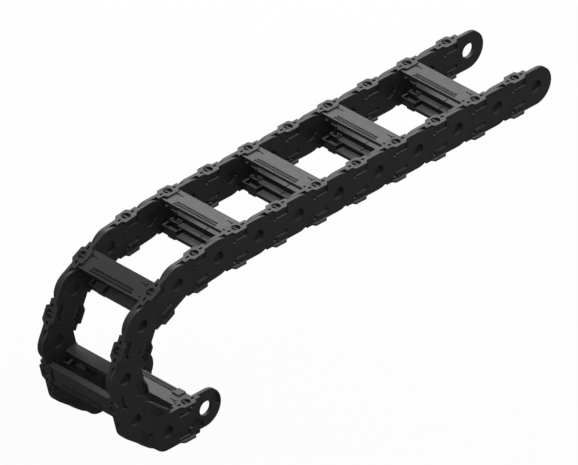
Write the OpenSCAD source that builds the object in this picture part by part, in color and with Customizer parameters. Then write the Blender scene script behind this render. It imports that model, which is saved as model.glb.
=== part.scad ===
// Cable drag chain with two bands of side links and snap-in crossbars.
// X runs along the straight upper run, Y across the chain and Z up. The origin
// is on the pivot axis of the fixed end, midway between the two bands.

/* [Chain] */
// Distance between the two pivots of a link
pitch = 64; // [58:1:80]
// Inner width, between the two bands of side links
inner_w = 100; // [75:1:200]
// Outer height of a link
link_h = 48.4; // [44:0.2:54]
// Bend at which the stops end a joint's travel, in degrees
bend_limit = 38; // [35:0.5:42]
// Bend of the first joint that leaves the straight run, in degrees
entry_bend = 6; // [0:1:14]

/* [Side link] */
// Thickness of each of the two layers of a side link
layer_t = 4.3; // [3.8:0.1:6]
// Running gap between side links that turn past each other
run_gap = 0.3; // [0.2:0.05:0.5]
// Radius of the pivot pin
pin_r = 9.35; // [8:0.05:11]
// Radial clearance between the pivot pin and its hole
pin_clear = 0.05; // [0.02:0.01:0.1]
// Wall of the hollow pivot pin
pin_wall = 1.65; // [1.2:0.05:3]
// Depth of the round recess in the outer face of the pivot pin
recess_depth = 4.6; // [3:0.1:5]
// Thickness of the floor between the recess and the hollow of the pin
pin_floor = 1.6; // [1:0.1:2.4]
// Width of the slit across the open end of the pin
slit_w = 2.2; // [1:0.1:4]
// Depth of the slit, less than half the length of the pin
slit_depth = 1.9; // [1:0.1:2]

/* [Stops] */
// Inner radius of the arc-shaped stop pockets
stop_in_r = 15.4; // [13:0.1:17]
// Outer radius of the arc-shaped stop pockets
stop_out_r = 22.2; // [19:0.1:22.8]
// Depth of the stop pockets
stop_depth = 2.5; // [1.5:0.1:3]
// Angle that each stop lug spans, in degrees
lug_span = 13; // [8:1:18]

/* [Pads] */
// Distance from a pivot to the end of the nearest pad
pad_setback = 13.4; // [11:0.1:16]
// Thickness of the bulge of a pad
pad_t = 2.2; // [1.8:0.1:2.8]
// Width of the bulge of a pad, across the chain
bulge_w = 17.4; // [14:0.2:19]
// Length of the bulge of a pad, along the chain
bulge_l = 25.6; // [22:0.2:28]
// Length of the straight edge of the bulge
bulge_flat = 16.6; // [12:0.2:20]
// Radius of the eight-sided opening in a pad
pad_hole_r = 5.8; // [4:0.1:6.2]
// Depth of the openings in a pad
pad_hole_depth = 4; // [3:0.1:5]
// Length of the small slots beside the opening, along the chain
slot_l = 4.6; // [3:0.1:5.4]
// Width of the small slots beside the opening
slot_w = 2.6; // [1.5:0.1:4]
// Distance from the middle of the pad to the middle of a small slot
slot_x = 10.6; // [10:0.1:12]

/* [Windows] */
// Depth of the windows in the faces of a side link
window_depth = 1.7; // [0.8:0.1:2.2]
// Length of the windows
window_l = 17.2; // [12:0.2:18]
// Height of the upper window
window_h = 9.2; // [6:0.2:10]
// Height of the lower window
low_window_h = 4.8; // [3:0.2:7]
// Depth of the square catch pockets beside the windows
catch_depth = 3.8; // [2.5:0.1:4]
// Side of the square catch pockets
catch_w = 4.4; // [3:0.1:5]

/* [Crossbar] */
// Width of a crossbar, along the chain
bar_w = 26.2; // [24:0.2:30]
// Distance from the middle of the link to the middle of the crossbar
bar_shift = 3.2; // [2:0.1:4]
// Thickness of the plate of a crossbar
bar_t = 3.2; // [3:0.1:4.5]
// Depth of the crossbar at its step
step_depth = 5.8; // [5:0.1:7]
// Depth of the crossbar at its rib
rib_depth = 8.6; // [7.5:0.1:10]
// Width of the step
step_w = 9.9; // [6:0.1:11]
// Width of the rib
rib_w = 3.6; // [2:0.1:5]
// Distance from the edge of the crossbar to its rib
rib_inset = 3.7; // [2:0.1:5]
// Clearance between a crossbar and the side links that hold it
seat_gap = 0.15; // [0.1:0.05:0.3]
// Thickness of the cheek at each end of a crossbar
cheek_t = 2.4; // [1.8:0.1:4]

/* [Latch] */
// Width of the latch nose at each end of a crossbar
latch_w = 6; // [4:0.1:8]
// Height of the latch nose
latch_h = 2.6; // [1.6:0.1:3]
// Distance from the outer face of the link to the latch nose
latch_drop = 5.2; // [4.4:0.1:5.6]
// Reach of the latch nose into the side link
latch_reach = 1.5; // [0.8:0.1:2]
// Width of the slits that free the latch tongue
tongue_slit = 1.4; // [0.8:0.1:2]

/* [Toothed strip] */
// Width of the toothed strip
strip_w = 7; // [5:0.1:8]
// Distance from the edge of the crossbar to the toothed strip
strip_inset = 1.6; // [1:0.1:2.4]
// Distance from the side link to the end of the toothed strip
strip_margin = 14.5; // [10:0.5:24]
// Spacing of the teeth
tooth_pitch = 3; // [2.5:0.1:5]
// Depth of the gaps between the teeth
tooth_h = 1.3; // [0.6:0.1:1.8]
// Rib that is left between the two rows of teeth
row_rib = 0.8; // [0.4:0.1:1.4]

/* [Hidden] */
$fn = 72;
eps = 0.01;
link_count = 14;
first_bent_joint = 8;

end_r = link_h / 2;
band_t = 2 * layer_t + run_gap;
// Places across a band, from its outer face to its inner face, for the near band
y_in = -inner_w / 2;
y_inner_layer = y_in - layer_t;
y_outer_layer = y_inner_layer - run_gap;
y_out = y_in - band_t;
y_band = y_in - band_t / 2;
pad_x = pitch / 2 - pad_setback;

// The lugs point back along their own link, and forwards and outwards
LUG_ANGLES = [180, 32];

bar_low_x = -bar_shift - bar_w / 2;
bar_high_x = -bar_shift + bar_w / 2;

function digits(k) = k < 10 ? str("0", k) : str(k);
function side_name(k, band) = str("side_link_", digits(k), "_", band);
function bar_name(k, side) = str("crossbar_", digits(k), "_", side);

// Joint k joins link k to link k + 1, and link_count is the fixed link
function full_bends() = link_count - first_bent_joint - 2;
function joint_bend(k) =
    k < first_bent_joint ? 0
    : k == first_bent_joint ? entry_bend
    : k == first_bent_joint + 1 ? 180 - entry_bend - full_bends() * bend_limit
    : bend_limit;
function heading(k) = k == link_count ? 180 : heading(k + 1) - joint_bend(k);
function pivot(k) =
    k == link_count ? [0, 0, 0]
    : pivot(k + 1) + pitch * [cos(heading(k + 1)), 0, sin(heading(k + 1))];

// Stands children, made about the middle of a link, where link k is
module at_link(k)
    translate(pivot(k)) rotate([0, -heading(k), 0]) translate([pitch / 2, 0, 0]) children();

// Gives an outline in X and Z its thickness along Y, between two places
module slab(y0, y1)
    translate([0, y1, 0]) rotate([90, 0, 0]) linear_extrude(height = y1 - y0) children();

module round_bar(x, r, y0, y1)
    slab(y0, y1) translate([x, 0]) circle(r = r);

// The space that the neighbouring link sweeps, about its pivot at the origin
module neighbour_room() {
    circle(r = end_r + run_gap);
    rotate(bend_limit) translate([-pitch, -end_r - run_gap]) square([pitch, 2 * (end_r + run_gap)]);
}

// One layer: a round end about the pivot at +X, and a hollow end round the neighbour at -X
module layer_outline()
    difference() {
        union() {
            translate([pitch / 2, 0]) circle(r = end_r);
            translate([-pad_x, -end_r]) square([pad_x + pitch / 2, link_h]);
        }
        translate([-pitch / 2, 0]) neighbour_room();
    }

module ring_sector(in_r, out_r, from, to)
    intersection() {
        difference() {
            circle(r = out_r);
            circle(r = in_r);
        }
        polygon(2 * out_r * [[0, 0], for (a = [from, (from + to) / 2, to]) [cos(a), sin(a)]]);
    }

// The arcs that the stop lugs run in, about the hole at -X
module stop_pockets() {
    play = atan(run_gap / stop_in_r);
    slab(y_inner_layer - eps, y_inner_layer + stop_depth)
        for (a = LUG_ANGLES)
            translate([-pitch / 2, 0])
                ring_sector(stop_in_r, stop_out_r,
                    a - lug_span / 2 - play, a + bend_limit + lug_span / 2 + play);
}

// The stop lugs stand on the inner face of the pin's layer, about the pin at +X
module stop_lugs()
    slab(y_outer_layer - eps, y_inner_layer + stop_depth - run_gap)
        for (a = LUG_ANGLES)
            translate([pitch / 2, 0])
                ring_sector(stop_in_r + run_gap, stop_out_r - run_gap,
                    a - lug_span / 2, a + lug_span / 2);

module pivot_pin()
    round_bar(pitch / 2, pin_r, y_outer_layer - eps, y_in - seat_gap);

// What makes the pin hollow: a recess outside, and a hollow with a slit at its open end
module pin_hollows() {
    x = pitch / 2;
    y_floor = y_out + recess_depth + pin_floor;
    round_bar(x, pin_r - pin_wall, y_out - eps, y_out + recess_depth);
    round_bar(x, pin_r - pin_wall, y_floor, y_in + eps);
    translate([x - pin_r, y_in - seat_gap - slit_depth, -slit_w / 2])
        cube([2 * pin_r, slit_depth + seat_gap + eps, slit_w]);
}

// Outline of a pad's bulge in X and Y, made larger all round by a gap
module bulge_outline(gap)
    polygon([
        for (s = [1, -1])
            each [
                [s * (bulge_flat / 2 + gap), s * (bulge_w / 2 + gap)],
                [-s * (bulge_flat / 2 + gap), s * (bulge_w / 2 + gap)],
                [-s * (bulge_l / 2 + gap), s * band_t / 2],
                [-s * (bulge_l / 2 + gap), 0],
            ]
    ]);

// The bulge at the outer edge of the link, over the middle of the band
module bulge()
    translate([0, y_band, end_r - pad_t]) linear_extrude(height = pad_t) bulge_outline(0);

// An eight-sided opening and two small slots, sunk into a pad
module pad_openings()
    translate([0, y_band, end_r - pad_hole_depth])
        linear_extrude(height = pad_hole_depth + eps) {
            rotate(22.5) circle(r = pad_hole_r, $fn = 8);
            for (s = [-1, 1]) translate([s * slot_x, 0]) square([slot_l, slot_w], center = true);
        }

// Windows and catch pockets in the outer face, with the lower window's floor sloping out
module windows() {
    x = -window_l * 0.2;
    z_top = end_r - pad_hole_depth - 1;
    translate([x, y_out - eps, z_top - window_h]) cube([window_l, window_depth + eps, window_h]);
    translate([x, 0, -z_top + window_h - low_window_h])
        rotate([90, 0, 90])
            linear_extrude(height = window_l)
                polygon([
                    [y_out - eps, -window_depth / 2], [y_out + window_depth, window_depth / 2],
                    [y_out + window_depth, low_window_h], [y_out - eps, low_window_h],
                ]);
    for (z = [z_top - window_h - catch_w / 2, -z_top])
        translate([x - catch_w, y_out - eps, z]) cube([catch_w, catch_depth + eps, catch_w]);
}

// The pocket in the inner face that takes a crossbar's latch nose
module latch_pocket() {
    w = latch_w + 2 * seat_gap;
    h = latch_h + 2 * seat_gap;
    translate([-w / 2, y_in - latch_reach - seat_gap, end_r - latch_drop - latch_h - seat_gap])
        cube([w, latch_reach + seat_gap + eps, h]);
}

// Half a turn about the upright axis through the middle of the band
module other_face()
    translate([0, y_band, 0]) rotate([0, 0, 180]) translate([0, -y_band, 0]) children();

// A side link of the near band: its pin points to +X and its hole is at -X
module side_link_body()
    difference() {
        union() {
            slab(y_out, y_outer_layer) layer_outline();
            slab(y_inner_layer, y_in) mirror([1, 0]) layer_outline();
            slab(y_outer_layer - eps, y_inner_layer + eps)
                intersection() {
                    layer_outline();
                    mirror([1, 0]) layer_outline();
                }
            pivot_pin();
            stop_lugs();
            for (m = [0, 1]) mirror([0, 0, m]) bulge();
        }
        pin_hollows();
        round_bar(-pitch / 2, pin_r + pin_clear, y_inner_layer - eps, y_in + eps);
        stop_pockets();
        for (m = [0, 1]) mirror([0, 0, m]) {
            pad_openings();
            latch_pocket();
        }
        windows();
        other_face() windows();
    }

module side_link(k, band)
    color([0.15, 0.15, 0.155])
        at_link(k) rotate([0, 0, band == "near" ? 0 : 180]) side_link_body();

// Section of a crossbar in X and Z: a plate with a step and a rib on its inner side
module bar_section() {
    rib_x = bar_high_x - rib_inset;
    step_x = rib_x - rib_w - step_w;
    translate([0, end_r])
        polygon([
            [bar_low_x, 0], [bar_high_x, 0],
            [bar_high_x, -bar_t], [rib_x, -bar_t],
            [rib_x, -rib_depth], [rib_x - rib_w, -rib_depth],
            [rib_x - rib_w, -step_depth], [step_x, -step_depth],
            [step_x, -bar_t], [bar_low_x, -bar_t],
        ]);
}

// The gaps between the teeth, in two rows with the second half a tooth on
module tooth_gaps() {
    row_w = (strip_w - row_rib) / 2;
    strip_l = inner_w - 2 * strip_margin;
    count = floor(strip_l / tooth_pitch);
    for (row = [0, 1], i = [0 : count - 1 - row])
        translate([
            bar_low_x + strip_inset + row * (row_w + row_rib),
            (i - (count - row) / 2 + 0.25) * tooth_pitch,
            end_r - tooth_h
        ]) cube([row_w, tooth_pitch / 2, tooth_h + eps]);
}

// At the near end: a cheek with a latch tongue, and the nose that snaps into the side link
module bar_end() {
    y = y_in + seat_gap;
    translate([bar_low_x + strip_inset, y, end_r - rib_depth])
        difference() {
            cube([bar_w - strip_inset - rib_inset, cheek_t, rib_depth - pad_t - seat_gap]);
            for (s = [-1, 1])
                translate([
                    -bar_low_x - strip_inset + s * (latch_w + tongue_slit) / 2 - tongue_slit / 2,
                    -eps, -eps
                ]) cube([tongue_slit, cheek_t + 2 * eps, rib_depth - bar_t]);
        }
    translate([-latch_w / 2, y_in - latch_reach, end_r - latch_drop - latch_h])
        cube([latch_w, latch_reach + seat_gap + eps, latch_h]);
}

// A crossbar at the outer side of the link
module crossbar_body()
    difference() {
        union() {
            slab(y_in + seat_gap, -y_in - seat_gap) bar_section();
            for (m = [0, 1]) mirror([0, m, 0]) bar_end();
        }
        for (s = [-1, 1])
            translate([0, s * y_band, end_r - pad_t - seat_gap])
                linear_extrude(height = pad_t + seat_gap + eps) bulge_outline(seat_gap);
        tooth_gaps();
    }

module crossbar(k, side)
    color([0.2, 0.2, 0.205])
        at_link(k) rotate([side == "outer" ? 0 : 180, 0, 0]) crossbar_body();

for (k = [1 : link_count], band = ["near", "far"])
    side_link(k, band);
for (k = [2 : 2 : link_count], side = ["outer", "inner"])
    crossbar(k, side);
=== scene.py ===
"""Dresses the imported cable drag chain: moulded polyamide finishes, a pale floor, soft lamps and a camera."""

import math
from collections import namedtuple

import bmesh
import bpy
from mathutils import Matrix, Vector


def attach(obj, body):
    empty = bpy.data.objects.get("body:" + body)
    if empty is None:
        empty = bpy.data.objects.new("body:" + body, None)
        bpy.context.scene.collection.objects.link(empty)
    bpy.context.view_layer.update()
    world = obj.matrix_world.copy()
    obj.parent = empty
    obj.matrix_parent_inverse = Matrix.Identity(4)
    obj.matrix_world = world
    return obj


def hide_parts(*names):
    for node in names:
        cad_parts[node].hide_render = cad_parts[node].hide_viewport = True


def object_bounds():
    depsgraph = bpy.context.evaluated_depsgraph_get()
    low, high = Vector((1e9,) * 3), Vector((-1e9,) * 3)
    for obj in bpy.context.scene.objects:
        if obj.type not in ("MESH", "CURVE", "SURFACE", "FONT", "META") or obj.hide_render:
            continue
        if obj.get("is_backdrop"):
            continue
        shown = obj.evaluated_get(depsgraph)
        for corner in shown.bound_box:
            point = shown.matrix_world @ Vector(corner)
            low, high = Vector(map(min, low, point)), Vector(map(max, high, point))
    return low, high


bl_info = {
    "name": "Cable drag chain",
    "version": (1, 0, 0),
    "blender": (4, 5, 0),
    "location": "3D View > Sidebar > Drag chain",
    "description": "Finishes, floor, lamps and camera for a packed cable drag chain",
    "category": "Object",
}

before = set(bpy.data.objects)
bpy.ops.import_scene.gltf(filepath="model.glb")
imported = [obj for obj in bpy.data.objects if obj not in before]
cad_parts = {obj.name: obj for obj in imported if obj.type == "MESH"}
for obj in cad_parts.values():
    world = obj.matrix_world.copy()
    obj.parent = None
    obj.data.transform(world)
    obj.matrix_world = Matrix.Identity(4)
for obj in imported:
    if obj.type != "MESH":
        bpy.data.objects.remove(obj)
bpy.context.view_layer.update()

MM = 0.001
# The chain, the pads and the latch pockets as the part's source has them
LINKS = 14
FIRST_BENT_JOINT = 8
BEND_LIMIT = 38
ENTRY_BEND = 6
PITCH = 64 * MM
HALF_HEIGHT = 24.2 * MM
HALF_INNER_W = 50 * MM
BULGE_T = 2.2 * MM
BULGE_REACH = 4.25 * MM
BULGE_HALF_FLAT = 8.3 * MM
BULGE_HALF_L = 12.8 * MM
BAND_T = 8.9 * MM
PAD_OPENING_DEPTH = 4 * MM
LATCH_HALF_W = 3 * MM
LATCH_H = 2.6 * MM
LATCH_DROP = 5.2 * MM
LATCH_REACH = 1.5 * MM
EPS = 0.01 * MM
BLACK_POLYAMIDE = "#2D2D2E"
BAR_POLYAMIDE = "#2C2C2D"
PALE_FLOOR = "#F4F4F3"
FLOOR_BOUNCE = "#7A7A7A"
WHITE = "#FFFFFF"


def srgb(text):
    """Turns a hex colour into linear red, green, blue and alpha."""
    parts = [int(text[i : i + 2], 16) / 255 for i in (1, 3, 5)]
    linear = [c / 12.92 if c <= 0.04045 else ((c + 0.055) / 1.055) ** 2.4 for c in parts]
    return (*linear, 1.0)


def colour_property(name, text, description):
    """A colour that a user can change, with its default given in hex."""
    return bpy.props.FloatVectorProperty(
        name=name, description=description, subtype="COLOR", size=4, min=0, max=1, default=srgb(text)
    )


def length_property(name, size, description):
    """A length that a user can change, with its default given in millimetres."""
    return bpy.props.FloatProperty(
        name=name, description=description, default=size * MM, min=0, unit="LENGTH"
    )


def angle_property(name, angle, description):
    """An angle that a user can change, with its default given in degrees."""
    return bpy.props.FloatProperty(
        name=name, description=description, default=math.radians(angle), subtype="ANGLE"
    )


def reach_property(name, share, description):
    """A size or distance on the stage, as a multiple of the object's diagonal."""
    return bpy.props.FloatProperty(
        name=name, description=description + ", in diagonals of the object", default=share, min=0
    )


def add_node(tree, kind, values=None, links=None, **settings):
    """Adds a node with its settings, the values of its inputs and the links that feed them."""
    node = tree.nodes.new(kind)
    for key, value in settings.items():
        setattr(node, key, value)
    for key, value in (values or {}).items():
        node.inputs[key].default_value = value
    for key, socket in (links or {}).items():
        tree.links.new(socket, node.inputs[key])
    return node


def new_material(name):
    """An empty node material."""
    material = bpy.data.materials.new(name)
    material.use_nodes = True
    material.node_tree.nodes.clear()
    return material


class MouldedFinish(bpy.types.PropertyGroup):
    """Colours and surface of the moulded polyamide parts."""

    link_colour: colour_property("Side link colour", BLACK_POLYAMIDE, "Colour of the side links")
    bar_colour: colour_property("Crossbar colour", BAR_POLYAMIDE, "Colour of the crossbars")
    link_roughness: bpy.props.FloatProperty(
        name="Side link roughness",
        description="Roughness of the spark-eroded face of a side link",
        default=0.46,
        min=0,
        max=1,
    )
    bar_roughness: bpy.props.FloatProperty(
        name="Crossbar roughness",
        description="Roughness of the smoother moulded face of a crossbar",
        default=0.42,
        min=0,
        max=1,
    )
    grain: bpy.props.FloatProperty(
        name="Grain",
        description="Width of the pits that spark erosion leaves, drawn coarser than real so that they show",
        default=0.7 * MM,
        min=0,
        unit="LENGTH",
    )
    flow: bpy.props.FloatProperty(
        name="Flow marks",
        description="Width of the cloudy marks that the glass fibres leave where the melt flowed",
        default=9 * MM,
        min=0,
        unit="LENGTH",
    )
    edge: length_property("Edge radius", 0.35, "Radius that the mould leaves on every edge")
    skin: length_property("Skin", 0.6, "Thickness of the skin beside the openings of a pad")
    skin_inset: length_property("Skin inset", 0.05, "How far the skin lies inside the face of the band")
    web: length_property("Web", 1.8, "Thickness of the web across the opening of a pad")
    web_drop: length_property("Web drop", 1.4, "From the outer face of the link down to the web")
    opening_reach: length_property("Opening reach", 5.3, "Half the width of the opening of a pad")
    rim: length_property("Rim", 1.3, "How far the floor of a pad opening reaches past the band")
    skin_length: length_property("Skin length", 8.4, "Length of the skin, along the chain")


class CrossbarSizes(bpy.types.PropertyGroup):
    """Sizes of both kinds of crossbar, whose width runs along the chain."""

    width: length_property("Width", 27.7, "Width of a crossbar")
    shift: length_property("Shift", 0.8, "From the middle of the link to the middle of the crossbar")
    sink: length_property("Sink", 1.9, "From the outer face of the link down to the plate")
    plate: length_property("Plate", 4, "Thickness of the plate")
    seat: length_property("Seat", 0.15, "Clearance to the side links")
    cheek: length_property("Cheek", 2.4, "Thickness of the cheek at each end")
    cheek_inset: length_property("Cheek inset", 2, "From the edge of the crossbar to the cheek")
    slit: length_property("Slit", 1.4, "Width of the slits beside the latch tongue")
    rib_depth: length_property("Rib depth", 10.6, "From the outer face to the edge of the ribs")
    rib_width: length_property("Rib width", 3, "Thickness of a rib")
    rib_middle: length_property("Rib middle", 2.6, "From the middle of the link to midway between the ribs")
    rib_spacing: length_property("Rib spacing", 15.8, "Distance between the two ribs")
    slot_depth: length_property("Slot depth", 2, "Depth of the T-shaped slots")
    slot_width: length_property("Slot width", 1.3, "Width of the T-shaped slots")
    slot_length: length_property("Slot length", 9, "Length of a T-shaped slot's stem")
    slot_head: length_property("Slot head", 5, "Length of a T-shaped slot's head")
    slot_x: length_property("Slot place", 5.5, "From the middle of the link to the stem of the slot")
    slot_start: length_property("Slot start", 6, "From the side link to the head of the slot")
    notch_width: length_property("Notch width", 2.2, "Width of the release notch")
    notch_length: length_property("Notch length", 5.65, "Length of the release notch")
    notch_x: length_property("Notch place", 10.6, "From the middle of the link to the release notch")
    strip_width: length_property("Strip width", 7.4, "Width of the toothed strip")
    strip_inset: length_property("Strip inset", 1.8, "From the edge of the crossbar to the toothed strip")
    strip_margin: length_property("Strip margin", 15.7, "From the side link to the end of the strip")
    row_rib: length_property("Row rib", 0.8, "Rib between the two rows of teeth")
    tooth_pitch: length_property("Tooth pitch", 2.6, "Spacing of the teeth")
    tooth_width: length_property("Tooth width", 0.9, "Thickness of a tooth")
    tooth_gap: length_property("Tooth gap", 2.2, "Depth of the gaps between the teeth")
    step_depth: length_property("Step depth", 11.8, "From the outer face to the inner face of the step")
    step_width: length_property("Step width", 8.9, "Width of the step")
    ridge_depth: length_property("Ridge depth", 18.4, "From the outer face to the edge of the ridge")
    ridge_width: length_property("Ridge width", 7.8, "Width of the ridge")
    step_start: length_property("Step start", 3.5, "From the middle of the link to the step's near edge")
    haunch_length: length_property("Haunch length", 14.1, "Length of the boxed haunch at each end")
    haunch_depth: length_property("Haunch depth", 13.8, "From the outer face to the edge of the haunch")
    foot_length: length_property("Foot length", 22.6, "Length of the boxed foot at each end")
    foot_start: length_property("Foot start", 10, "From the side link to the raised face of the foot")
    wall: length_property("Wall", 1.5, "Wall of the boxed ends")
    groove_width: length_property("Groove width", 1.2, "Width of the groove across the middle")
    groove_depth: length_property("Groove depth", 1, "Depth of the groove across the middle")
    post_depth: length_property("Post depth", 25.5, "From the outer face to the end of the post")
    post_x: length_property("Post shift", 0.9, "From the middle of the link to the posts")
    post_radius: length_property("Post radius", 2, "Radius of the post near each end")
    post_y: length_property("Post place", 7.2, "From the side link to the middle of the post")
    collar_radius: length_property("Collar radius", 3.6, "Radius of the collar on the post")
    collar_height: length_property("Collar height", 1.2, "Thickness of the collar")
    arm: length_property("Arm", 2, "Width and thickness of the arm from the post to the side link")


class StageSettings(bpy.types.PropertyGroup):
    """Floor, lamps and camera."""

    floor_colour: colour_property("Floor colour", PALE_FLOOR, "Colour of the floor")
    floor_bounce: colour_property("Floor bounce", FLOOR_BOUNCE, "Colour of the light from the floor")
    floor_glow: bpy.props.FloatProperty(
        name="Floor glow",
        description="How far the camera sees the floor as white, instead of as lit and shaded paint",
        default=0.95,
        min=0,
        max=1,
        subtype="FACTOR",
    )
    azimuth: angle_property("Camera azimuth", -45, "Direction of the camera, where 0 looks along +Y")
    elevation: angle_property("Camera elevation", 32.7, "Height of the camera above the horizon")
    span: bpy.props.FloatProperty(
        name="Span",
        description="Width that the picture covers at the object",
        default=0.6566,
        min=0.1,
        unit="LENGTH",
    )
    aim_right: bpy.props.FloatProperty(
        name="Aim right",
        description="How far right of the object's middle the camera aims",
        default=-0.0084,
        unit="LENGTH",
    )
    aim_up: bpy.props.FloatProperty(
        name="Aim up",
        description="How far above the object's middle the camera aims",
        default=0.0191,
        unit="LENGTH",
    )
    lens: bpy.props.FloatProperty(
        name="Lens",
        description="Focal length in millimetres, long so that parallel edges stay parallel",
        default=1000,
        min=50,
    )
    back_lamp: bpy.props.FloatProperty(
        name="Back lamp",
        description="Power of the large soft lamp behind and above, whose sheen lies on upward faces",
        default=11.5,
        min=0,
        unit="POWER",
    )
    back_azimuth: angle_property("Back lamp azimuth", 135, "Direction of the back lamp from the object")
    back_elevation: angle_property("Back lamp elevation", 48, "Height of the back lamp")
    back_size: reach_property("Back lamp size", 1.6, "Side of the back lamp")
    back_distance: reach_property("Back lamp distance", 1.8, "From the object to the back lamp")
    top_lamp: bpy.props.FloatProperty(
        name="Top lamp",
        description="Power of the soft lamp overhead, which reaches down to the inner crossbars",
        default=4,
        min=0,
        unit="POWER",
    )
    top_azimuth: angle_property("Top lamp azimuth", -45, "Direction of the top lamp from the object")
    top_elevation: angle_property("Top lamp elevation", 88, "Height of the top lamp")
    top_size: reach_property("Top lamp size", 0.5, "Side of the top lamp")
    top_distance: reach_property("Top lamp distance", 2.2, "From the object to the top lamp")
    world_light: bpy.props.FloatProperty(
        name="World light",
        description="Strength of the even light from all round",
        default=0.5,
        min=0,
    )


def moulded_polyamide(name, colour, roughness, finish):
    """Black glass-filled polyamide from a spark-eroded mould: satin, with a fine pitted grain,
    cloudy marks where the fibres flowed, and a small radius on every edge that catches the light."""
    material = new_material(name)
    tree = material.node_tree
    place = add_node(tree, "ShaderNodeTexCoord").outputs["Object"]
    flow = add_node(
        tree,
        "ShaderNodeTexNoise",
        {"Scale": 1 / finish.flow, "Detail": 3.0, "Roughness": 0.55, "Distortion": 0.6},
        {"Vector": place},
    )
    grain = add_node(
        tree, "ShaderNodeTexNoise", {"Scale": 1 / finish.grain, "Detail": 2.0}, {"Vector": place}
    )
    shade = add_node(
        tree,
        "ShaderNodeMapRange",
        {"From Min": 0.3, "From Max": 0.7, "To Min": 0.88, "To Max": 1.12},
        {"Value": flow.outputs["Fac"]},
    )
    tint = add_node(
        tree,
        "ShaderNodeMix",
        {"Factor": 1.0, "A": colour},
        {"B": shade.outputs["Result"]},
        data_type="RGBA",
        blend_type="MULTIPLY",
    )
    satin = add_node(
        tree,
        "ShaderNodeMapRange",
        {"From Min": 0.3, "From Max": 0.7, "To Min": roughness - 0.04, "To Max": roughness + 0.05},
        {"Value": flow.outputs["Fac"]},
    )
    rounding = add_node(tree, "ShaderNodeBevel", {"Radius": finish.edge}, samples=6)
    pits = add_node(
        tree,
        "ShaderNodeBump",
        {"Strength": 0.25, "Distance": 0.03 * MM},
        {"Height": grain.outputs["Fac"], "Normal": rounding.outputs["Normal"]},
    )
    body = add_node(
        tree,
        "ShaderNodeBsdfPrincipled",
        {"IOR": 1.53, "Metallic": 0.0},
        {
            "Base Color": tint.outputs["Result"],
            "Roughness": satin.outputs["Result"],
            "Normal": pits.outputs["Normal"],
        },
    )
    add_node(tree, "ShaderNodeOutputMaterial", links={"Surface": body.outputs["BSDF"]})
    return material


def finish_nodes(prefix, material):
    """Gives every CAD node whose name starts with prefix one material."""
    for name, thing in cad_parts.items():
        if name.startswith(prefix):
            thing.data.materials.clear()
            thing.data.materials.append(material)


def pad_skin(s, side):
    """The thin skin of a band beside the eight-sided openings of its two pads, and the rim of the
    floor that closes each opening where it reaches past the band, and the web across the opening."""
    shape = bmesh.new()
    half = s.skin_length / 2
    inner = HALF_INNER_W + s.skin_inset
    outer = HALF_INNER_W + BAND_T - s.skin_inset
    low = HALF_HEIGHT - PAD_OPENING_DEPTH - s.skin_inset
    high = HALF_HEIGHT - BULGE_T + s.skin_inset
    middle = HALF_INNER_W + BAND_T / 2
    web = s.web / 2
    ends = sorted((side * (middle - s.opening_reach), side * (middle + s.opening_reach)))
    for up in (1, -1):
        top = HALF_HEIGHT - s.web_drop
        add_box(shape, -web, web, *ends, *sorted((up * low, up * top)))
    for face, inward in ((inner, 1), (outer, -1)):
        skin = sorted((side * face, side * (face + inward * s.skin)))
        rim = sorted((side * (face + inward * s.skin), side * (face - inward * s.rim)))
        for up in (1, -1):
            add_box(shape, -half, half, *skin, *sorted((up * low, up * high)))
            add_box(shape, -half, half, *rim, *sorted((up * high, up * (high + s.skin))))
    mesh = bpy.data.meshes.new("pad_skin")
    shape.to_mesh(mesh)
    shape.free()
    return mesh


class CHAIN_OT_side_links(bpy.types.Operator):
    """Finish the side links of both bands and close the skin beside their pad openings"""

    bl_idname = "chain.side_links"
    bl_label = "Side links"

    def execute(self, context):
        finish = context.scene.moulded_finish
        material = moulded_polyamide(
            "glass_filled_polyamide_link", finish.link_colour, finish.link_roughness, finish
        )
        finish_nodes("side_link_", material)
        for band, side in (("near", -1), ("far", 1)):
            mesh = pad_skin(finish, side)
            mesh.materials.append(material)
            for link in range(1, LINKS + 1):
                skin = bpy.data.objects.new(f"pad_skin_{link:02d}_{band}", mesh)
                context.scene.collection.objects.link(skin)
                skin.matrix_world = link_frame(link)
                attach(skin, f"link_{link:02d}" if link > 1 else f"link_{link:02d}_{band}")
        return {"FINISHED"}


def heading(link):
    """Angle of a link from +X, in degrees, counted back from the fixed link."""
    if link == LINKS:
        return 180
    full = LINKS - FIRST_BENT_JOINT - 2
    if link < FIRST_BENT_JOINT:
        bend = 0
    elif link == FIRST_BENT_JOINT:
        bend = ENTRY_BEND
    elif link == FIRST_BENT_JOINT + 1:
        bend = 180 - ENTRY_BEND - full * BEND_LIMIT
    else:
        bend = BEND_LIMIT
    return heading(link + 1) - bend


def pivot(link):
    """Place of the pivot between a link and the one before it."""
    if link == LINKS:
        return Vector((0, 0, 0))
    angle = math.radians(heading(link + 1))
    return pivot(link + 1) + PITCH * Vector((math.cos(angle), 0, math.sin(angle)))


def link_frame(link):
    """Matrix that stands a piece, made about the middle of a link, where the link is."""
    turn = Matrix.Rotation(-math.radians(heading(link)), 4, "Y")
    return Matrix.Translation(pivot(link)) @ turn @ Matrix.Translation((PITCH / 2, 0, 0))


def add_box(shape, x0, x1, y0, y1, z0, z1):
    """Adds a box between three pairs of places."""
    place = Matrix.Translation(((x0 + x1) / 2, (y0 + y1) / 2, (z0 + z1) / 2))
    bmesh.ops.create_cube(shape, size=1, matrix=place @ Matrix.Diagonal((x1 - x0, y1 - y0, z1 - z0, 1)))


def add_ends(shape, x0, x1, d0, d1, z0, z1):
    """Adds a box at both ends of a crossbar, between two distances from the side link."""
    add_box(shape, x0, x1, HALF_INNER_W - d1, HALF_INNER_W - d0, z0, z1)
    add_box(shape, x0, x1, d0 - HALF_INNER_W, d1 - HALF_INNER_W, z0, z1)


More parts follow.
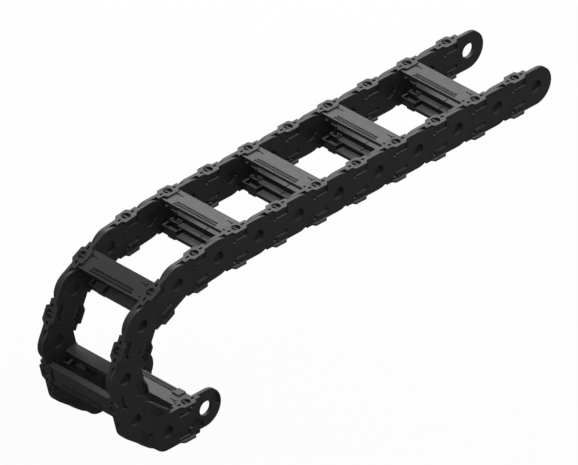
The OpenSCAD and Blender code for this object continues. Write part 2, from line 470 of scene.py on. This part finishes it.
def add_rod(shape, radius, x, y, z0, z1):
    """Adds an upright round rod."""
    bmesh.ops.create_cone(
        shape,
        cap_ends=True,
        segments=40,
        radius1=radius,
        radius2=radius,
        depth=z1 - z0,
        matrix=Matrix.Translation((x, y, (z0 + z1) / 2)),
    )


def temporary(name, shape):
    """An object for one boolean cut."""
    mesh = bpy.data.meshes.new(name)
    shape.to_mesh(mesh)
    shape.free()
    thing = bpy.data.objects.new(name, mesh)
    bpy.context.scene.collection.objects.link(thing)
    return thing


def cut(solids, gaps):
    """Joins the solids and takes the gaps out of them, as one mesh."""
    body = temporary("solids", solids)
    tool = temporary("gaps", gaps)
    modifier = body.modifiers.new("gaps", "BOOLEAN")
    modifier.operation = "DIFFERENCE"
    modifier.solver = "EXACT"
    modifier.use_self = True
    modifier.object = tool
    bpy.context.view_layer.update()
    mesh = bpy.data.meshes.new_from_object(body.evaluated_get(bpy.context.evaluated_depsgraph_get()))
    for thing in (body, tool):
        old = thing.data
        bpy.data.objects.remove(thing)
        bpy.data.meshes.remove(old)
    return mesh


Places = namedtuple("Places", "low high top under")


def bar_places(s):
    """Both edges of a crossbar along the chain, and the top and the underside of its plate."""
    middle = -s.shift
    top = HALF_HEIGHT - s.sink
    return Places(middle - s.width / 2, middle + s.width / 2, top, top - s.plate)


def bar_ends(s, solids, gaps, cheek_depth, tongue_depth):
    """The cheeks with their latch tongues and noses, the T-shaped slots and the room for the bulges."""
    at = bar_places(s)
    add_ends(
        solids,
        at.low + s.cheek_inset,
        at.high - s.cheek_inset,
        s.seat,
        s.seat + s.cheek,
        HALF_HEIGHT - cheek_depth,
        at.top - EPS,
    )
    nose = HALF_HEIGHT - LATCH_DROP
    add_ends(
        solids, -LATCH_HALF_W, LATCH_HALF_W, -LATCH_REACH, s.seat + s.cheek / 2, nose - LATCH_H, nose
    )
    for x in (-LATCH_HALF_W - s.slit, LATCH_HALF_W):
        add_ends(gaps, x, x + s.slit, 0, s.seat + s.cheek + EPS, HALF_HEIGHT - tongue_depth - EPS, at.under)
    head = s.slot_head / 2
    stem = s.slot_width / 2
    z = at.top - s.slot_depth
    add_ends(
        gaps, s.slot_x - head, s.slot_x + head, s.slot_start, s.slot_start + s.slot_width, z, at.top + EPS
    )
    add_ends(
        gaps,
        s.slot_x - stem,
        s.slot_x + stem,
        s.slot_start + stem,
        s.slot_start + s.slot_length,
        z,
        at.top + EPS,
    )
    floor = HALF_HEIGHT - BULGE_T - s.seat
    middle = (BULGE_HALF_FLAT + BULGE_HALF_L) / 2
    add_ends(gaps, -BULGE_HALF_L, BULGE_HALF_L, 0, BULGE_REACH / 2, floor, HALF_HEIGHT + EPS)
    add_ends(gaps, -middle, middle, BULGE_REACH / 2 - EPS, BULGE_REACH + s.seat, floor, HALF_HEIGHT)


def tooth_gaps(s, gaps, margin):
    """The gaps between the teeth, in two rows with the second half a tooth on."""
    at = bar_places(s)
    row_width = (s.strip_width - s.row_rib) / 2
    count = math.floor((2 * HALF_INNER_W - 2 * margin) / s.tooth_pitch)
    for row in (0, 1):
        x = at.low + s.strip_inset + row * (row_width + s.row_rib)
        for i in range(count - row):
            y = (i - (count - row) / 2) * s.tooth_pitch + s.tooth_width / 2
            y_end = y + s.tooth_pitch - s.tooth_width
            add_box(gaps, x, x + row_width, y, y_end, at.top - s.tooth_gap, at.top + EPS)


def outer_bar(s):
    """A plate with two ribs below, and a toothed strip and T-shaped slots on top."""
    solids, gaps = bmesh.new(), bmesh.new()
    at = bar_places(s)
    half = HALF_INNER_W - s.seat
    add_box(solids, at.low, at.high, -half, half, at.under, at.top)
    for side in (-1, 1):
        x = s.rib_middle + side * s.rib_spacing / 2
        add_box(
            solids,
            x - s.rib_width / 2,
            x + s.rib_width / 2,
            -half,
            half,
            HALF_HEIGHT - s.rib_depth,
            at.under + EPS,
        )
    bar_ends(s, solids, gaps, s.rib_depth, s.rib_depth)
    tooth_gaps(s, gaps, s.strip_margin)
    notch = s.notch_width / 2
    z = at.top - s.slot_depth
    add_ends(gaps, -s.notch_x - notch, -s.notch_x + notch, 0, s.notch_length, z, at.top + EPS)
    return cut(solids, gaps)


def inner_bar(s):
    """A plate with a step and boxed ends, drawn at the outer side of the link."""
    solids, gaps = bmesh.new(), bmesh.new()
    at = bar_places(s)
    half = HALF_INNER_W - s.seat
    step_low, step_high = -s.step_start, s.step_width - s.step_start
    step = HALF_HEIGHT - s.step_depth
    haunch = HALF_HEIGHT - s.haunch_depth
    inside = s.seat + s.cheek
    add_box(solids, at.low, at.high, -half, half, at.under, at.top)
    add_box(solids, step_low, step_high, -half, half, step, at.under + EPS)
    ridge = HALF_HEIGHT - s.ridge_depth
    ridge_high = step_high + s.ridge_width
    add_box(solids, step_high - EPS, ridge_high, -half, half, ridge, at.under + EPS)
    add_ends(solids, step_low - EPS, step_high, s.seat, s.haunch_length, haunch, at.under + EPS)
    add_ends(solids, at.low, step_low, s.seat, s.foot_length, step, at.under + EPS)
    add_ends(solids, at.low, step_low, s.foot_start, s.foot_length - s.wall, at.under, HALF_HEIGHT)
    bar_ends(s, solids, gaps, s.step_depth, s.haunch_depth)
    tooth_gaps(s, gaps, s.foot_length)
    add_ends(
        gaps, step_low + s.wall, step_high - s.wall, inside, s.haunch_length - s.wall, haunch - EPS, at.under
    )
    add_ends(gaps, at.low + s.wall, step_low, inside, s.foot_length - s.wall, step - EPS, at.under)
    groove = s.groove_width / 2
    add_box(gaps, step_low - EPS, step_high, -groove, groove, step - EPS, step + s.groove_depth)
    add_box(gaps, step_high, ridge_high + EPS, -groove, groove, ridge - EPS, ridge + s.groove_depth)
    return cut(solids, gaps)


def posts(s):
    """The posts near the ends of the inner crossbar, with their collars and arms."""
    solids = bmesh.new()
    at = bar_places(s)
    y = HALF_INNER_W - s.post_y
    z = HALF_HEIGHT - s.post_depth
    collar = HALF_HEIGHT - s.haunch_depth
    for side in (-1, 1):
        add_rod(solids, s.post_radius, s.post_x, side * y, z, at.under + EPS)
        add_rod(solids, s.collar_radius, s.post_x, side * y, collar, collar + s.collar_height)
    add_ends(solids, s.post_x - s.arm / 2, s.post_x + s.arm / 2, s.seat, s.post_y, z, z + s.arm)
    mesh = bpy.data.meshes.new("posts")
    solids.to_mesh(mesh)
    solids.free()
    return mesh


def joined(name, meshes):
    """Several meshes as one."""
    shape = bmesh.new()
    for mesh in meshes:
        shape.from_mesh(mesh)
        bpy.data.meshes.remove(mesh)
    whole = bpy.data.meshes.new(name)
    shape.to_mesh(whole)
    shape.free()
    return whole


class CHAIN_OT_crossbars(bpy.types.Operator):
    """Make the snap-in crossbars in full detail, in place of the plainer solids"""

    bl_idname = "chain.crossbars"
    bl_label = "Crossbars"

    def execute(self, context):
        finish = context.scene.moulded_finish
        sizes = context.scene.crossbar_sizes
        material = moulded_polyamide(
            "glass_filled_polyamide_bar", finish.bar_colour, finish.bar_roughness, finish
        )
        finish_nodes("crossbar_", material)
        meshes = {
            "outer": joined("outer_crossbar", [outer_bar(sizes)]),
            "inner": joined("inner_crossbar", [inner_bar(sizes), posts(sizes)]),
        }
        turns = {"outer": Matrix.Identity(4), "inner": Matrix.Rotation(math.pi, 4, "X")}
        for side, mesh in meshes.items():
            mesh.materials.append(material)
            for link in range(2, LINKS + 1, 2):
                bar = bpy.data.objects.new(f"{side}_crossbar_{link:02d}", mesh)
                context.scene.collection.objects.link(bar)
                bar.matrix_world = link_frame(link) @ turns[side]
                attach(bar, f"link_{link:02d}")
                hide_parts(f"crossbar_{link:02d}_{side}")
        return {"FINISHED"}


def matt_floor(settings):
    """Matt painted board: no sheen, shown white to the camera with the object's shadow kept,
    and darker to the object, so that upright faces stay as dark as they are."""
    material = new_material("matt_painted_board")
    tree = material.node_tree
    path = add_node(tree, "ShaderNodeLightPath")
    seen_colour = add_node(
        tree,
        "ShaderNodeMix",
        {"A": settings.floor_bounce, "B": settings.floor_colour},
        {"Factor": path.outputs["Is Camera Ray"]},
        data_type="RGBA",
    )
    paint = add_node(
        tree, "ShaderNodeBsdfDiffuse", {"Roughness": 1.0}, {"Color": seen_colour.outputs["Result"]}
    )
    glow = add_node(tree, "ShaderNodeEmission", {"Color": srgb(WHITE), "Strength": 1.0})
    seen = add_node(
        tree,
        "ShaderNodeMath",
        {1: settings.floor_glow},
        {0: path.outputs["Is Camera Ray"]},
        operation="MULTIPLY",
    )
    mixed = add_node(
        tree,
        "ShaderNodeMixShader",
        links={0: seen.outputs[0], 1: paint.outputs[0], 2: glow.outputs[0]},
    )
    add_node(tree, "ShaderNodeOutputMaterial", links={"Surface": mixed.outputs[0]})
    return material


def area_lamp(name, power, size, place, target):
    """A square soft lamp at a place, turned to a target. It casts no shadow, so that the upward
    faces deep inside the chain keep their grey."""
    lamp = bpy.data.lights.new(name, "AREA")
    lamp.energy = power
    lamp.size = size
    lamp.use_shadow = False
    thing = bpy.data.objects.new(name, lamp)
    thing.location = place
    thing.rotation_mode = "QUATERNION"
    thing.rotation_quaternion = (target - place).to_track_quat("-Z", "Y")
    bpy.context.scene.collection.objects.link(thing)
    return thing


def direction(azimuth, elevation):
    """Unit vector from the object towards an azimuth and elevation, where azimuth 0 looks along +Y."""
    return Vector(
        (
            math.sin(azimuth) * math.cos(elevation),
            -math.cos(azimuth) * math.cos(elevation),
            math.sin(elevation),
        )
    )


class CHAIN_OT_stage(bpy.types.Operator):
    """Make the floor, the world, the lamps and the camera"""

    bl_idname = "chain.stage"
    bl_label = "Stage"

    def execute(self, context):
        scene = context.scene
        settings = scene.stage_settings
        low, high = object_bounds()
        middle = (low + high) / 2
        self.make_floor(settings, low, middle)
        self.make_world(scene, settings)
        self.make_camera(scene, settings, middle)
        reach = (high - low).length
        back = direction(settings.back_azimuth, settings.back_elevation)
        area_lamp(
            "back_lamp",
            settings.back_lamp,
            settings.back_size * reach,
            middle + settings.back_distance * reach * back,
            middle,
        )
        top = direction(settings.top_azimuth, settings.top_elevation)
        area_lamp(
            "top_lamp",
            settings.top_lamp,
            settings.top_size * reach,
            middle + settings.top_distance * reach * top,
            middle,
        )
        scene.view_settings.view_transform = "Standard"
        return {"FINISHED"}

    def make_floor(self, settings, low, middle):
        """A wide flat board under the lowest point of the chain."""
        half = 30.0
        mesh = bpy.data.meshes.new("floor")
        corners = [(-half, -half), (half, -half), (half, half), (-half, half)]
        mesh.from_pydata([(middle.x + x, middle.y + y, low.z) for x, y in corners], [], [(0, 1, 2, 3)])
        floor = bpy.data.objects.new("floor", mesh)
        bpy.context.scene.collection.objects.link(floor)
        mesh.materials.append(matt_floor(settings))
        floor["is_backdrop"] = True

    def make_world(self, scene, settings):
        """Even grey light from all round, white where the camera sees past the floor."""
        world = bpy.data.worlds.new("studio")
        world.use_nodes = True
        tree = world.node_tree
        tree.nodes.clear()
        path = add_node(tree, "ShaderNodeLightPath")
        strength = add_node(
            tree,
            "ShaderNodeMix",
            {"A": settings.world_light, "B": 1.0},
            {"Factor": path.outputs["Is Camera Ray"]},
        )
        sky = add_node(
            tree,
            "ShaderNodeBackground",
            {"Color": srgb(WHITE)},
            {"Strength": strength.outputs["Result"]},
        )
        add_node(tree, "ShaderNodeOutputWorld", links={"Surface": sky.outputs[0]})
        scene.world = world

    def make_camera(self, scene, settings, middle):
        """A very long lens, so that the view is nearly parallel, as in a technical catalogue."""
        data = bpy.data.cameras.new("camera")
        data.sensor_width = 36
        data.lens = settings.lens
        distance = settings.span * settings.lens / data.sensor_width
        back = direction(settings.azimuth, settings.elevation)
        camera = bpy.data.objects.new("camera", data)
        camera.rotation_mode = "QUATERNION"
        camera.rotation_quaternion = (-back).to_track_quat("-Z", "Y")
        right = camera.rotation_quaternion @ Vector((1, 0, 0))
        up = camera.rotation_quaternion @ Vector((0, 1, 0))
        aim = middle + settings.aim_right * right + settings.aim_up * up
        camera.location = aim + distance * back
        data.clip_start = distance / 10
        data.clip_end = distance * 4
        scene.collection.objects.link(camera)
        scene.camera = camera


class CHAIN_PT_panel(bpy.types.Panel):
    """Lists the steps and the sizes and colours that they use"""

    bl_idname = "CHAIN_PT_panel"
    bl_label = "Drag chain"
    bl_space_type = "VIEW_3D"
    bl_region_type = "UI"
    bl_category = "Drag chain"

    def draw(self, context):
        layout = self.layout
        scene = context.scene
        for group in (scene.moulded_finish, scene.crossbar_sizes, scene.stage_settings):
            box = layout.box()
            for key in group.__annotations__:
                box.prop(group, key)
        for step in STEPS:
            layout.operator(step.bl_idname)


STEPS = (CHAIN_OT_side_links, CHAIN_OT_crossbars, CHAIN_OT_stage)
CLASSES = (MouldedFinish, CrossbarSizes, StageSettings, *STEPS, CHAIN_PT_panel)


def register():
    """Registers the classes and hangs the settings on the scene."""
    for cls in CLASSES:
        bpy.utils.register_class(cls)
    bpy.types.Scene.moulded_finish = bpy.props.PointerProperty(type=MouldedFinish)
    bpy.types.Scene.crossbar_sizes = bpy.props.PointerProperty(type=CrossbarSizes)
    bpy.types.Scene.stage_settings = bpy.props.PointerProperty(type=StageSettings)


def unregister():
    """Takes the settings and the classes away again."""
    del bpy.types.Scene.moulded_finish
    del bpy.types.Scene.stage_settings
    del bpy.types.Scene.crossbar_sizes
    for cls in reversed(CLASSES):
        bpy.utils.unregister_class(cls)


def main():
    """Runs every step in order."""
    register()
    bpy.ops.chain.side_links()
    bpy.ops.chain.crossbars()
    bpy.ops.chain.stage()


if __name__ == "__main__":
    main()
